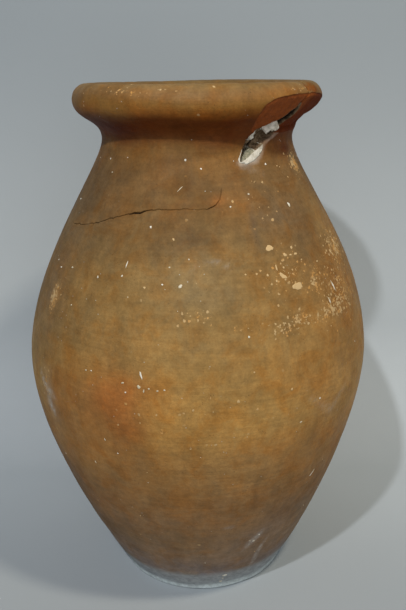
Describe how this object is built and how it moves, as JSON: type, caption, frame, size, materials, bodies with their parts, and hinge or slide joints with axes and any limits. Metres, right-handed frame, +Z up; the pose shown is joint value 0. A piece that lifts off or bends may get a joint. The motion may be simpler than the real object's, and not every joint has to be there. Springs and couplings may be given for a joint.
{
  "type": "cracked terracotta flower pot",
  "caption": "Tall terracotta garden pot with a rolled rim, broken under the rim and cracked through its neck, with old plaster filling.",
  "frame": {"origin": "centre of the underside, where the pot stands on the ground", "axes": "+Z up along the pot's axis; the front, towards which the gouge and its plaster are turned, faces -Y; +X is to the right of the front"},
  "size_m": [0.438, 0.4378, 0.647],
  "materials": {
    "fired_clay": "weathered, smoke-stained terracotta with a worn satin patina",
    "white_plaster": "old crumbling white plaster, matte"
  },
  "bodies": {
    "root": {"pot": "fired_clay", "repair_plaster": "white_plaster"}
  },
  "joints": []
}
